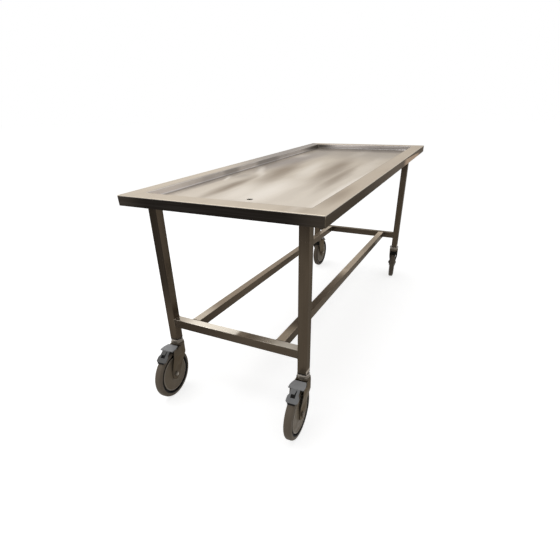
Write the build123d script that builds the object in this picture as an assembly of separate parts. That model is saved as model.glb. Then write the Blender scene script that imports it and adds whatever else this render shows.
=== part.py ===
from build123d import *
import math
import os

# Tray: one folded sheet that falls towards the drain end at -X
tray_length = 1900.0
tray_width = 800.0
sheet_thickness = 1.5
rim_width = 70.0
rim_height = 906.5
tray_fall_deg = 1.88
skirt_depth = 37.0
skirt_lip = 12.0
bend_radius = 2.5
basin_depth = 27.0
basin_corner_radius = 8.0
drain_drop = 13.0
drain_inset = 261.0
drain_hole_diameter = 25.0

# Drain spigot welded under the hole
spigot_wall = 2.5
spigot_length = 42.0
spigot_flange_diameter = 52.0
spigot_flange_depth = 5.0

# Floor ribs under the tray
rib_count = 3
rib_thickness = 4.0
rib_depth = 30.0

# Square tube frame
tube_side = 38.0
tube_wall = 1.5
tube_corner_radius = 3.0
least_corner = 0.4
leg_set_in_x = 14.0
leg_set_in_y = 22.0
pad_margin = 5.5
pad_thickness = 5.0
border_margin = 1.0
lower_frame_height = 357.5
stretcher_spacing = 400.0

# Plugs in the legs' lower ends
plug_flange = 4.0
plug_depth = 28.0
plug_clearance = 0.25

# Castors: wheel, swing as parked, and fork
wheel_diameter = 215.0
wheel_trail = 69.0
castor_height = 253.5
swing_foot_left_deg = 185.2
swing_foot_right_deg = 182.8
swing_head_left_deg = -1.9
swing_head_right_deg = 10.5
running_clearance = 0.05
moving_gap = 0.4

# Wheel
tyre_width = 32.0
tyre_depth = 22.0
tyre_shoulder_radius = 10.0
tyre_seat_width = 16.0
tyre_inner_bevel = 2.0
tyre_edge_radius = 1.5
groove_width = 5.0
disc_edge_width = 27.0
disc_edge_radius = 2.5
hub_width = 37.0
hub_diameter = 50.0
hub_flare = 8.0
hub_flare_rise = 1.7
bearing_diameter = 26.0
bearing_width = 9.0
axle_diameter = 10.0
hex_across_flats = 17.0
axle_head_thickness = 6.0
axle_nut_thickness = 5.5
axle_tail = 1.5

# Fork: a bent channel, wide at the crown and drawn in at the axle
fork_sheet = 3.0
fork_crown_width = 58.0
fork_axle_gap = 1.0
fork_shoulder_drop = 36.0
fork_waist_drop = 86.0
fork_bend_radius = 6.0
fork_back_reach = 27.0
fork_front_reach = 70.0
fork_crown_front = 28.0
fork_lip_depth = 16.0
fork_cheek_depth = 21.0
fork_end_radius = 26.0
boss_diameter = 56.0
boss_rise = 8.0
boss_depth = 12.0
boss_edge_radius = 2.0

# Swivel head and stem
head_diameter = 50.0
head_height = 14.6
head_edge_radius = 3.0
collar_diameter = 32.0
collar_thickness = 3.0
journal_diameter = 14.0
stem_diameter = 12.0
stem_reach = 22.0
stem_foot_diameter = 22.0
stem_foot_thickness = 4.0
thrust_bore = 20.0
thrust_diameter = 40.0
thrust_thickness = 6.0
thrust_rise = 3.0

# Brake pedal, its hinge pin and the shoe under it
pin_diameter = 8.0
pin_reach = 38.0
pin_drop = 7.0
pin_head_diameter = 11.0
pin_head_thickness = 1.5
pedal_plate = 4.0
pedal_drop = 2.0
pedal_back_reach = 34.0
pedal_back_width = 50.0
pedal_flare_reach = 58.0
pedal_front_reach = 84.0
pedal_front_width = 63.0
pedal_corner_radius = 4.0
pedal_edge_radius = 1.0
tread_length = 57.5
tread_slope_deg = 34.5
tread_neck_width = 36.0
tread_neck_length = 21.0
tread_ear_width = 48.0
tread_ear_start = 33.0
tread_ear_end = 51.0
tread_foot_width = 38.0
window_width = 18.5
window_height = 14.5
window_start = 22.5
window_offset = 1.5
window_slit_rise = 17.0
window_slit_width = 6.0
window_slit_tip = 2.0
cheek_thickness = 4.0
cheek_spacing = 38.0
cheek_eye_radius = 8.0
cheek_front_reach = 60.0
shoe_width = 26.0
shoe_back_reach = 49.0
shoe_front_reach = 77.0
shoe_gap = 0.6

# Places worked out from the sizes above
half_length = tray_length / 2
half_width = tray_width / 2
basin_half_x = half_length - rim_width
basin_half_y = half_width - rim_width
leg_x = basin_half_x - leg_set_in_x
leg_y = basin_half_y - leg_set_in_y
pad_side = tube_side + 2 * pad_margin
border_width = max(leg_set_in_x, leg_set_in_y) + pad_side / 2 + border_margin
drain_x = drain_inset - half_length
floor_underside = basin_depth + sheet_thickness
tray_place = Location((0, 0, rim_height), (0, -tray_fall_deg, 0))
lower_frame_z = lower_frame_height - tube_side / 2
tube_inner = tube_side - 2 * tube_wall
tube_inner_corner = max(tube_corner_radius - tube_wall, least_corner)

wheel_radius = wheel_diameter / 2
seat_radius = wheel_radius - tyre_depth
fork_inner_axle = hub_width / 2 + fork_axle_gap
fork_outer_axle = fork_inner_axle + fork_sheet
fork_outer_crown = fork_crown_width / 2
fork_inner_crown = fork_outer_crown - fork_sheet
head_top = castor_height - collar_thickness
head_bottom = head_top - head_height
boss_top = head_bottom - moving_gap
crown_top = boss_top - boss_rise
pin_height = crown_top - pin_drop
pedal_top = boss_top - pedal_drop
pedal_underside = pedal_top - pedal_plate

LEG_SIGNS = {
    "foot_left": (-1, 1),
    "foot_right": (-1, -1),
    "head_left": (1, 1),
    "head_right": (1, -1),
}
SWING_DEG = {
    "foot_left": swing_foot_left_deg,
    "foot_right": swing_foot_right_deg,
    "head_left": swing_head_left_deg,
    "head_right": swing_head_right_deg,
}


def block(x_range, y_range, z_range):
    """Box between the given limits."""
    size = [high - low for low, high in (x_range, y_range, z_range)]
    centre = [(high + low) / 2 for low, high in (x_range, y_range, z_range)]
    return Pos(*centre) * Box(*size)


def rod(radius, z_low, z_high):
    """Upright cylinder on the Z axis."""
    return Pos(0, 0, (z_low + z_high) / 2) * Cylinder(radius, z_high - z_low)


def cross_rod(radius, y_low, y_high):
    """Cylinder along the Y axis."""
    return Pos(0, (y_low + y_high) / 2, 0) * Rot(90, 0, 0) * Cylinder(radius, y_high - y_low)


def upright_edges(shape):
    """Edges that run along Z."""
    return shape.edges().filter_by(Axis.Z)


def square_tube(length):
    """Square tube along +Z from the origin."""
    section = RectangleRounded(tube_side, tube_side, tube_corner_radius)
    section -= RectangleRounded(tube_inner, tube_inner, tube_inner_corner)
    return extrude(section, length)


def basin(grow):
    """Solid that fills the tray's hollow, grown by the sheet where it forms the outside."""
    half_x = basin_half_x + grow
    half_y = basin_half_y + grow
    depth = basin_depth + grow
    well = block((-half_x, half_x), (-half_y, half_y), (-depth, 0))
    rounded = upright_edges(well) + well.faces().sort_by(Axis.Z)[0].edges()
    well = fillet(rounded, basin_corner_radius + grow)
    fall_x = basin_half_x - border_width
    fall_y = basin_half_y - border_width
    corners = [(-fall_x, -fall_y), (fall_x, -fall_y), (fall_x, fall_y), (-fall_x, fall_y)]
    base = [Vector(x, y, -depth) for x, y in corners]
    apex = Vector(drain_x, 0, -depth - drain_drop)
    faces = [Face(Wire.make_polygon(base))]
    for index, corner in enumerate(base):
        faces.append(Face(Wire.make_polygon([corner, base[index - 1], apex])))
    return well + Solid(Shell(faces))


def rim_and_skirt():
    """Flat rim with its turned-down skirt and the lip folded in under it."""
    outside = block((-half_length, half_length), (-half_width, half_width), (-skirt_depth, 0))
    corners = upright_edges(outside) + outside.faces().sort_by(Axis.Z)[-1].edges()
    outside = fillet(corners, bend_radius)
    x_in = half_length - sheet_thickness
    y_in = half_width - sheet_thickness
    hollow = block((-x_in, x_in), (-y_in, y_in), (sheet_thickness - skirt_depth, -sheet_thickness))
    x_lip = half_length - skirt_lip
    y_lip = half_width - skirt_lip
    mouth = block((-x_lip, x_lip), (-y_lip, y_lip), (-skirt_depth, -sheet_thickness))
    return outside - hollow - mouth


def drain_column(radius, z_low, z_high):
    """Cylinder on the drain's axis."""
    return Pos(drain_x, 0, 0) * rod(radius, z_low, z_high)


def tray_pan(inside, outside):
    """Tray sheet: rim, skirt, walls and falling floor, with the drain hole."""
    pan = rim_and_skirt() + outside - inside
    pan -= drain_column(drain_hole_diameter / 2, -skirt_depth - drain_drop, 0)
    mouth = pan.faces().filter_by(Axis.Z).sort_by(Axis.Z)[-1].inner_wires()[0]
    return fillet(mouth.edges(), bend_radius)


def drain_spigot(outside):
    """Short flanged tube welded to the floor around the hole."""
    bore = drain_hole_diameter / 2
    root = -floor_underside - drain_drop
    tube = drain_column(bore + spigot_wall, root - spigot_length, -basin_depth)
    tube += drain_column(spigot_flange_diameter / 2, root - spigot_flange_depth, -basin_depth)
    return tube - drain_column(bore, root - spigot_length, 0) - outside


def floor_ribs(outside):
    """Flat bars on edge, cut to the underside of the floor."""
    reach = basin_half_y - basin_corner_radius
    pitch = 2 * leg_x / (rib_count + 1)
    ribs = []
    for index in range(rib_count):
        x = -leg_x + pitch * (index + 1)
        bar = block((x - rib_thickness / 2, x + rib_thickness / 2), (-reach, reach),
                    (-floor_underside - rib_depth, -basin_depth))
        ribs.append(bar - outside)
    return ribs


def leg_pad(sign_x, sign_y):
    """Square pad under the flat border of the floor, above a leg."""
    level = -floor_underside - pad_thickness
    fall = math.radians(tray_fall_deg)
    x = (sign_x * leg_x + level * math.sin(fall)) / math.cos(fall)
    y = sign_y * leg_y
    return block((x - pad_side / 2, x + pad_side / 2), (y - pad_side / 2, y + pad_side / 2),
                 (level, -floor_underside))


def leg(sign_x, sign_y):
    """Upright tube from its plug's flange to the pad, cut to the tray's fall."""
    bottom = castor_height + plug_flange
    tube = Pos(sign_x * leg_x, sign_y * leg_y, bottom) * square_tube(rim_height + tray_length)
    level = -floor_underside - pad_thickness
    above = block((-tray_length, tray_length), (-tray_width, tray_width), (level, 2 * tray_length))
    return tube - tray_place * above


def leg_plug(sign_x, sign_y):
    """Plug in a leg's lower end, with a flange under the tube and a bore for the stem."""
    inner = tube_inner - 2 * plug_clearance
    flange = extrude(RectangleRounded(tube_side, tube_side, tube_corner_radius), plug_flange)
    core = Pos(0, 0, plug_flange) * extrude(RectangleRounded(inner, inner, tube_inner_corner), plug_depth)
    plug = flange + core - rod(stem_diameter / 2 + running_clearance, 0, plug_flange + plug_depth)
    return Pos(sign_x * leg_x, sign_y * leg_y, castor_height) * plug


def crossbar(sign_x):
    """Tube between the two legs of one end."""
    span = 2 * leg_y - tube_side
    return Pos(sign_x * leg_x, span / 2, lower_frame_z) * Rot(90, 0, 0) * square_tube(span)


def stretcher(sign_y):
    """Lengthwise tube between the crossbars."""
    span = 2 * leg_x - tube_side
    return Pos(-span / 2, sign_y * stretcher_spacing / 2, lower_frame_z) * Rot(0, 90, 0) * square_tube(span)


def castor_stem():
    """King pin: threaded end, collar, journal and the foot that keeps the fork on."""
    foot_top = boss_top - boss_depth - moving_gap
    stem = rod(stem_diameter / 2, castor_height, castor_height + stem_reach)
    stem += rod(collar_diameter / 2, head_top, castor_height)
    stem += rod(journal_diameter / 2, foot_top, head_top)
    return stem + rod(stem_foot_diameter / 2, foot_top - stem_foot_thickness, foot_top)


def swivel_cap():
    """Round cap fixed under the leg, with the upper race let into it."""
    head = rod(head_diameter / 2, head_bottom, head_top)
    head = fillet(head.edges().group_by(Axis.Z)[-1], head_edge_radius)
    head -= rod(thrust_diameter / 2, head_bottom, boss_top + thrust_rise)
    return head - rod(journal_diameter / 2 + running_clearance, head_bottom, head_top)


def swivel_bearing():
    """Thrust race in the head, running in the crown's recess."""
    top = boss_top + thrust_rise
    ring = rod(thrust_diameter / 2, top - thrust_thickness, top)
    return ring - rod(thrust_bore / 2, top - thrust_thickness, top)


def fork_side():
    """Side outline of the fork: crown, ears for the pedal pin and rounded axle ends."""
    crown = Pos((fork_front_reach - fork_back_reach) / 2, crown_top - fork_cheek_depth / 2)
    crown *= Rectangle(fork_front_reach + fork_back_reach, fork_cheek_depth)
    end = Pos(wheel_trail, wheel_radius) * Circle(fork_end_radius)
    return make_hull(crown.edges() + end.edges())


def fork_channel():
    """Front outline of the fork: a channel whose sides draw in towards the axle."""
    shoulder = crown_top - fork_shoulder_drop
    waist = crown_top - fork_waist_drop
    low = wheel_radius - fork_end_radius - fork_sheet
    right = [
        (fork_outer_crown, crown_top),
        (fork_outer_crown, shoulder),
        (fork_outer_axle, waist),
        (fork_outer_axle, low),
        (fork_inner_axle, low),
        (fork_inner_axle, waist),
        (fork_inner_crown, shoulder),
        (fork_inner_crown, crown_top - fork_sheet),
    ]
    left = [(-t, z) for t, z in reversed(right)]
    channel = make_face(Polyline(*right, *left, close=True))
    outer = [vertex for vertex in channel.vertices() if vertex.Y > crown_top - fork_sheet / 2]
    return fillet(outer, fork_bend_radius)


def fork_plan():
    """Outline of the fork from above: round at the back, open-ended towards the axle."""
    reach = wheel_trail + wheel_diameter
    ahead = Pos(reach / 2, 0) * Rectangle(reach, fork_crown_width)
    return Circle(fork_outer_crown) + ahead


def fork_boss():
    """Round boss on the crown."""
    boss = rod(boss_diameter / 2, boss_top - boss_depth, boss_top)
    return fillet(boss.edges().group_by(Axis.Z)[-1], boss_edge_radius)


def race_recess():
    """Ring-shaped room in the boss for the thrust race."""
    low = boss_top + thrust_rise - thrust_thickness - moving_gap
    post = rod(thrust_bore / 2 - moving_gap, low, boss_top)
    return rod(thrust_diameter / 2 + moving_gap, low, boss_top) - post


def fork_lip():
    """Lip folded down from the front of the crown, short of the pedal's hinge eyes."""
    front = min(fork_crown_front, pin_reach - cheek_eye_radius - moving_gap)
    return block((front - fork_sheet, front), (-fork_inner_crown, fork_inner_crown),
                 (crown_top - fork_lip_depth, crown_top - fork_sheet))


def fork():
    """Fork body with its swivel boss and the bores for stem, axle and pedal pin."""
    width = fork_crown_width
    reach = wheel_trail + wheel_diameter
    body = extrude(Plane.XZ * fork_side(), width, both=True)
    body &= extrude(Plane.YZ * fork_channel(), reach, both=True)
    body &= extrude(fork_plan(), boss_top)
    body -= block((fork_crown_front, reach), (-fork_inner_crown, fork_inner_crown),
                  (crown_top - fork_sheet, crown_top))
    body += fork_lip()
    body += fork_boss()
    body -= race_recess()
    body -= rod(journal_diameter / 2 + running_clearance, boss_top - boss_depth, boss_top)
    body -= at_axle(cross_rod(axle_diameter / 2 + running_clearance, -width, width))
    return body - at_pin(cross_rod(pin_diameter / 2 + running_clearance, -width, width))


def at_axle(shape):
    """Move a shape from the Y axis to the wheel's axle."""
    return Pos(wheel_trail, 0, wheel_radius) * shape


def at_pin(shape):
    """Move a shape from the Y axis to the pedal's hinge pin."""
    return Pos(pin_reach, 0, pin_height) * shape


def hex_plate(y_low, y_high):
    """Hexagon across the axle between two stations."""
    hexagon = RegularPolygon(hex_across_flats / 2, 6, major_radius=False)
    return Pos(0, y_high, 0) * Rot(90, 0, 0) * extrude(hexagon, y_high - y_low)


def axle():
    """Axle bolt with its hexagon head against one side of the fork."""
    tail = fork_outer_axle + axle_nut_thickness + axle_tail
    head = hex_plate(-fork_outer_axle - axle_head_thickness, -fork_outer_axle)
    return at_axle(head + cross_rod(axle_diameter / 2, -fork_outer_axle, tail))


def axle_nut():
    """Nut on the tail of the axle bolt."""
    nut = hex_plate(fork_outer_axle, fork_outer_axle + axle_nut_thickness)
    bore = cross_rod(axle_diameter / 2 + running_clearance, 0, fork_outer_axle + axle_nut_thickness)
    return at_axle(nut - bore)


def spun(points, rounds):
    """Turn a (radius, station) outline about the Y axis, rounding the named corners."""
    outline = make_face(Polyline(*points, close=True))
    for round_radius, corner_radius, station in rounds:
        places = [Vector(corner_radius, side * station, 0) for side in (-1, 1)]
        corners = [min(outline.vertices(), key=lambda v: (Vector(v) - place).length) for place in places]
        outline = fillet(corners, round_radius)
    return at_axle(revolve(outline, Axis.Y))


def mirrored(points):
    """Close a right-hand outline with its mirror image."""
    return points + [(r, -y) for r, y in reversed(points)]


def wheel_centre():
    """Wheel centre: hub, smooth side discs and the seat for the tyre."""
    disc_radius = seat_radius - groove_width
    disc_half = disc_edge_width / 2
    hub_half = hub_width / 2
    hub_radius = hub_diameter / 2
    right = [
        (seat_radius, tyre_seat_width / 2),
        (disc_radius, tyre_seat_width / 2),
        (disc_radius, disc_half),
        (hub_radius + hub_flare, disc_half + hub_flare_rise),
        (hub_radius, hub_half),
        (bearing_diameter / 2, hub_half),
    ]
    return spun(mirrored(right), [(disc_edge_radius, disc_radius, disc_half)])


def tyre():
    """Round-shouldered tyre bonded on the wheel centre."""
    half = tyre_width / 2
    right = [
        (wheel_radius, half),
        (seat_radius + tyre_inner_bevel, half),
        (seat_radius, tyre_seat_width / 2),
    ]
    corners = [(tyre_shoulder_radius, wheel_radius, half),
               (tyre_edge_radius, seat_radius + tyre_inner_bevel, half)]
    return spun(mirrored(right), corners)


def wheel_bearings():
    """Ball bearing at each end of the hub."""
    rings = []
    for side in (-1, 1):
        near = side * hub_width / 2
        far = side * (hub_width / 2 - bearing_width)
        ring = cross_rod(bearing_diameter / 2, min(near, far), max(near, far))
        ring -= cross_rod(axle_diameter / 2 + running_clearance, min(near, far), max(near, far))
        rings.append(at_axle(ring))
    return rings


def pedal_pin():
    """Headed hinge pin through both sides of the fork."""
    pin = cross_rod(pin_diameter / 2, -fork_outer_crown, fork_outer_crown)
    for side in (-1, 1):
        inner = side * fork_outer_crown
        outer = side * (fork_outer_crown + pin_head_thickness)
        pin += cross_rod(pin_head_diameter / 2, min(inner, outer), max(inner, outer))
    return at_pin(pin)


def moulded(plate):
    """Round the edges of both faces of a flat plate."""
    faces = plate.faces().sort_by(Axis.Z)
    return fillet(faces[0].edges() + faces[-1].edges(), pedal_edge_radius)


def pedal_top_plate():
    """Flat top of the pedal, widening away from the swivel head."""
    right = [
        (pedal_back_reach, pedal_back_width / 2),
        (pedal_flare_reach, pedal_front_width / 2),
        (pedal_front_reach, pedal_front_width / 2),
    ]
    left = [(s, -t) for s, t in reversed(right)]
    plate = make_face(Polyline(*right, *left, close=True))
    plate = fillet(plate.vertices(), pedal_corner_radius)
    return Pos(0, 0, pedal_underside) * moulded(extrude(plate, pedal_plate))


def tread_window():
    """Window of the foot plate, with a tapering slit that runs up one side."""
    low = window_start + window_height
    high = window_start - window_slit_rise
    far = -window_width / 2 - window_offset
    near = window_width / 2 - window_offset
    outline = [
        (window_start, far),
        (low, far),
        (low, near),
        (high, near),
        (high, near - window_slit_tip),
        (window_start, near - window_slit_width),
    ]
    return make_face(Polyline(*outline, close=True))


def pedal_tread():
    """Sloping foot plate of the pedal, with a window and wide ears low down."""
    right = [
        (0, tread_neck_width / 2),
        (tread_neck_length, tread_neck_width / 2),
        (tread_ear_start, tread_ear_width / 2),
        (tread_ear_end, tread_ear_width / 2),
        (tread_length, tread_foot_width / 2),
    ]
    left = [(s, -t) for s, t in reversed(right)]
    plate = make_face(Polyline(*right, *left, close=True))
    rounded = [v for v in plate.vertices() if v.X > tread_neck_length]
    plate = fillet(rounded, pedal_corner_radius)
    plate = moulded(extrude(plate - tread_window(), -pedal_plate))
    return Pos(pedal_front_reach, 0, pedal_top) * Rot(0, tread_slope_deg, 0) * plate


def pedal_cheeks():
    """Two arms under the pedal that hang on the hinge pin."""
    arm_height = pedal_underside - pin_height
    root = Pos((pedal_back_reach + cheek_front_reach) / 2 - pin_reach, arm_height - pedal_plate / 2)
    root *= Rectangle(cheek_front_reach - pedal_back_reach, pedal_plate)
    arm = make_hull(root.edges() + Circle(cheek_eye_radius).edges())
    arm -= Circle(pin_diameter / 2 + running_clearance)
    arm = Plane.XZ * extrude(arm, cheek_thickness / 2, both=True)
    centre = (cheek_spacing - cheek_thickness) / 2
    return [at_pin(Pos(0, side * centre, 0) * arm) for side in (-1, 1)]


def pedal():
    """Brake pedal: top plate, foot plate and hinge cheeks."""
    body = pedal_top_plate() + pedal_tread()
    for cheek in pedal_cheeks():
        body += cheek
    return body


def brake_shoe():
    """Block under the pedal, hollowed to the tyre."""
    shoe = block((shoe_back_reach, shoe_front_reach), (-shoe_width / 2, shoe_width / 2),
                 (wheel_radius, pedal_underside))
    return shoe - at_axle(cross_rod(wheel_radius + shoe_gap, -tyre_width, tyre_width))


def save(node, shapes):
    """Write one node, as one solid or as a group of separate solids."""
    solids = [solid for shape in shapes for solid in shape.solids()]
    whole = solids[0] if len(solids) == 1 else Compound(solids)
    export_step(whole, f"parts/{node}.step")


def save_tray():
    """Write the tray and what is welded under it."""
    inside = basin(0.0)
    outside = basin(sheet_thickness)
    save("tray_pan", [tray_place * tray_pan(inside, outside)])
    save("drain_spigot", [tray_place * drain_spigot(outside)])
    save("floor_ribs", [tray_place * rib for rib in floor_ribs(outside)])
    save("leg_pads", [tray_place * leg_pad(*signs) for signs in LEG_SIGNS.values()])


def save_frame():
    """Write the legs, their plugs and the lower frame."""
    for corner, signs in LEG_SIGNS.items():
        save(f"leg_{corner}", [leg(*signs)])
    save("leg_plugs", [leg_plug(*signs) for signs in LEG_SIGNS.values()])
    save("crossbar_foot", [crossbar(-1)])
    save("crossbar_head", [crossbar(1)])
    save("stretcher_left", [stretcher(1)])
    save("stretcher_right", [stretcher(-1)])


def save_castors():
    """Write the castors, each turned to its parked swing."""
    castor_parts = {
        "swivel_cap": [swivel_cap()],
        "fork": [fork()],
        "axle": [axle()],
        "axle_nut": [axle_nut()],
        "wheel_centre": [wheel_centre()],
        "tyre": [tyre()],
        "wheel_bearings": wheel_bearings(),
        "pedal": [pedal()],
        "pedal_pin": [pedal_pin()],
        "brake_shoe": [brake_shoe()],
    }
    stem = castor_stem()
    bearing = swivel_bearing()
    stems = []
    bearings = []
    for corner, (sign_x, sign_y) in LEG_SIGNS.items():
        place = Location((sign_x * leg_x, sign_y * leg_y, 0), (0, 0, SWING_DEG[corner]))
        for name, shapes in castor_parts.items():
            save(f"{name}_{corner}", [place * shape for shape in shapes])
        stems.append(place * stem)
        bearings.append(place * bearing)
    save("castor_stems", stems)
    save("swivel_bearings", bearings)


os.makedirs("parts", exist_ok=True)
save_tray()
save_frame()
save_castors()
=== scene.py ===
"""Finishes, welds, castor trim, studio and camera of an autopsy trolley.

Lengths are metres in the part's own frame: +X runs from the drain end to the head end,
+Y to the left side, +Z up, with the origin on the floor under the middle of the tray.
"""

import logging
import math
from dataclasses import dataclass
from enum import Enum

import bmesh
import bpy
from mathutils import Matrix, Vector


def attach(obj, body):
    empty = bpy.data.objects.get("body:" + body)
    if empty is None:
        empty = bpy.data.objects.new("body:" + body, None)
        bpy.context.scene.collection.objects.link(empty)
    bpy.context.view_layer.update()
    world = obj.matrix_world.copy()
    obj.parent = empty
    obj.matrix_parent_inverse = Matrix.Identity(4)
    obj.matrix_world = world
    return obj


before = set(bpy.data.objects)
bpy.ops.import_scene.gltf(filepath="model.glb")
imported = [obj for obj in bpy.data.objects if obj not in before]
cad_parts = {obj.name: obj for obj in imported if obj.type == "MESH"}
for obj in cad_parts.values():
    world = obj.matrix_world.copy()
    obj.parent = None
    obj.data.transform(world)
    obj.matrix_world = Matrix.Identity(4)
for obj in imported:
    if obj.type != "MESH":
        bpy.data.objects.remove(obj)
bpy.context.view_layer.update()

LOG = logging.getLogger("autopsy_trolley")
TROLLEY = "trolley"
LEG_X = 0.866
LEG_Y = 0.308
QUARTER_TURN = math.pi / 2

Colour = tuple[float, float, float]
Point = tuple[float, float, float]
Span = tuple[float, float]
Inputs = dict[str | int, object]
Node = bpy.types.Node
Socket = bpy.types.NodeSocket
Mesh = bmesh.types.BMesh
Edge = bmesh.types.BMEdge


class Corner(Enum):
    """Corner of the trolley: signs of its X and Y, and the parked swing of its castor."""

    FOOT_LEFT = ("foot_left", -1, 1, 185.2)
    FOOT_RIGHT = ("foot_right", -1, -1, 182.8)
    HEAD_LEFT = ("head_left", 1, 1, -1.9)
    HEAD_RIGHT = ("head_right", 1, -1, 10.5)

    @property
    def label(self) -> str:
        """Ending of the names of this corner's pieces."""
        return self.value[0]

    @property
    def signs(self) -> tuple[int, int]:
        """Signs of the corner's X and Y."""
        return self.value[1], self.value[2]

    @property
    def leg(self) -> Span:
        """X and Y of the middle of the corner's leg."""
        return self.value[1] * LEG_X, self.value[2] * LEG_Y

    @property
    def swing(self) -> float:
        """Angle of the castor's trail about Z, in radians."""
        return math.radians(self.value[3])


class Axis(Enum):
    """Direction in which a sheet or tube was brushed."""

    X = 0
    Y = 1
    Z = 2

    def stretched(self, scales: Span) -> Point:
        """Pattern scale that differs along this axis.

        Args:
            scales: Scale along the axis, and across it.

        Returns:
            Scale of the three axes.
        """
        along, across = scales
        scale = [across] * 3
        scale[self.value] = along
        return tuple(scale)


@dataclass(frozen=True)
class Fade:
    """Soft step along a value, with the levels before and after it."""

    low: float
    high: float
    start: float = 0.0
    end: float = 1.0


@dataclass(frozen=True)
class Stretch:
    """Stretch along an axis where a tone is laid on, with soft ends."""

    start: float
    full: float
    fade: float
    end: float
    strength: float


class Graph:
    """Nodes and links of one shader tree."""

    def __init__(self, tree: bpy.types.NodeTree) -> None:
        """Work on the given tree."""
        self.tree = tree

    def add(self, kind: str, inputs: Inputs | None = None, **settings: object) -> Node:
        """Add a node.

        Args:
            kind: Blender's name of the node type.
            inputs: Values or sockets for the node's inputs, by name or index.
            **settings: Values for the node's own properties.

        Returns:
            The new node.
        """
        node = self.tree.nodes.new(kind)
        for name, value in settings.items():
            setattr(node, name, value)
        self.fill(node, inputs or {})
        return node

    def fill(self, node: Node, inputs: Inputs) -> None:
        """Link sockets into a node's inputs, or set the inputs' own values.

        Args:
            node: The node.
            inputs: Socket, number, vector or colour for each input, by name or index.
        """
        for key, value in inputs.items():
            socket = node.inputs[key]
            if isinstance(value, Socket):
                self.tree.links.new(value, socket)
            elif socket.type == "RGBA":
                socket.default_value = (*value, 1.0)
            else:
                socket.default_value = value

    def math(self, operation: str, first: object, second: object = 0.0) -> Socket:
        """Result of one of Blender's operations on two values."""
        return self.add("ShaderNodeMath", {0: first, 1: second}, operation=operation).outputs[0]

    def times(self, first: object, *others: object) -> object:
        """Product of some values.

        Args:
            first: First value or socket.
            *others: The other values or sockets.

        Returns:
            Socket of the product.
        """
        for other in others:
            first = self.math("MULTIPLY", first, other)
        return first

    def weigh(self, first: Socket, second: Socket, share: float) -> Socket:
        """Mean of two values, with the given share of the first."""
        return self.math("ADD", self.times(first, share), self.times(second, 1.0 - share))

    def ramp(self, value: object, low: float, high: float, start: object = 0.0,
             end: object = 1.0) -> Socket:
        """Soft step from a start level to an end level, while a value goes from low to high."""
        inputs = {"Value": value, "From Min": low, "From Max": high, "To Min": start, "To Max": end}
        return self.add("ShaderNodeMapRange", inputs, interpolation_type="SMOOTHSTEP").outputs["Result"]

    def fade(self, value: object, fade: Fade) -> Socket:
        """Level of a fade at a value."""
        return self.ramp(value, fade.low, fade.high, fade.start, fade.end)

    def ease(self, share: object, first: object, second: object) -> Socket:
        """Soft step from one level to another, while a share goes from 0 to 1."""
        return self.ramp(share, 0.0, 1.0, first, second)

    def stretches(self, along: Socket, stretches: tuple[Stretch, ...]) -> object:
        """Mask of some stretches along an axis.

        Args:
            along: Coordinate along the axis.
            stretches: The stretches.

        Returns:
            Socket of the mask, or 0 where there is none.
        """
        mask = 0.0
        for stretch in stretches:
            rise = self.ramp(along, stretch.start, stretch.full)
            fall = self.ramp(along, stretch.end, stretch.fade)
            mask = self.math("MAXIMUM", mask, self.times(rise, fall, stretch.strength))
        return mask

    def mix(self, factor: object, first: object, second: object) -> Socket:
        """Blend of two colours, with a factor that is the second one's share."""
        return self.add("ShaderNodeMix", {0: factor, 6: first, 7: second}, data_type="RGBA").outputs[2]

    def blend(self, factor: object, first: Socket, second: Socket) -> Socket:
        """Blend of two vectors, with a factor that is the second one's share."""
        return self.add("ShaderNodeMix", {0: factor, 4: first, 5: second}, data_type="VECTOR").outputs[1]

    def split(self, vector: Socket) -> list[Socket]:
        """X, Y and Z of a vector."""
        return list(self.add("ShaderNodeSeparateXYZ", {0: vector}).outputs)

    def place(self, origin: Point = (0.0, 0.0, 0.0), turn: Point = (0.0, 0.0, 0.0)) -> Socket:
        """Object coordinates, seen from a frame with its own origin and Euler angles."""
        source = self.add("ShaderNodeTexCoord").outputs["Object"]
        return self.mapped("TEXTURE", {"Vector": source, "Location": origin, "Rotation": turn})

    def scaled(self, vector: Socket, scale: Point, shift: Point = (0.0, 0.0, 0.0)) -> Socket:
        """Coordinates scaled and then moved."""
        return self.mapped("POINT", {"Vector": vector, "Location": shift, "Scale": scale})

    def mapped(self, kind: str, inputs: Inputs) -> Socket:
        """Coordinates through one of Blender's kinds of mapping."""
        return self.add("ShaderNodeMapping", inputs, vector_type=kind).outputs[0]

    def facing(self) -> list[Socket]:
        """X, Y and Z of the surface's own normal."""
        return self.split(self.add("ShaderNodeTexCoord").outputs["Normal"])

    def size(self, value: Socket) -> Socket:
        """A value without its sign."""
        return self.math("ABSOLUTE", value)

    def noise(self, vector: Socket, scale: object, detail: float = 2.0, roughness: float = 0.5) -> Socket:
        """Noise value, about 0.5 on average."""
        inputs = {"Vector": vector, "Scale": scale, "Detail": detail, "Roughness": roughness}
        return self.add("ShaderNodeTexNoise", inputs).outputs[0]

    def bump(self, height: Socket, depth: float, strength: float) -> Socket:
        """Normal that follows a height from 0 to 1, with a real depth of which a share is used."""
        inputs = {"Height": height, "Distance": depth, "Strength": strength}
        return self.add("ShaderNodeBump", inputs).outputs[0]


# Brush lines: scale of the coarse ones, share of the fine ones, and how sharply they show
COARSE_LINES = 0.21
FINE_SHARE = 0.6
LINE_STEP = Fade(0.3, 0.7)
# Clouds: how sharply they show
CLOUD_STEP = Fade(0.32, 0.68)
# Scuffs: scales of the marks and of the zones they keep to, and the level that makes a mark
MARK_SCALE = 260.0
ZONE_SCALE = 23.0
MARK_SHARE = 0.6
MARK_LEVEL = 0.66
MARK_GAIN = 0.12
MARK_SOFT = 0.05


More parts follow.
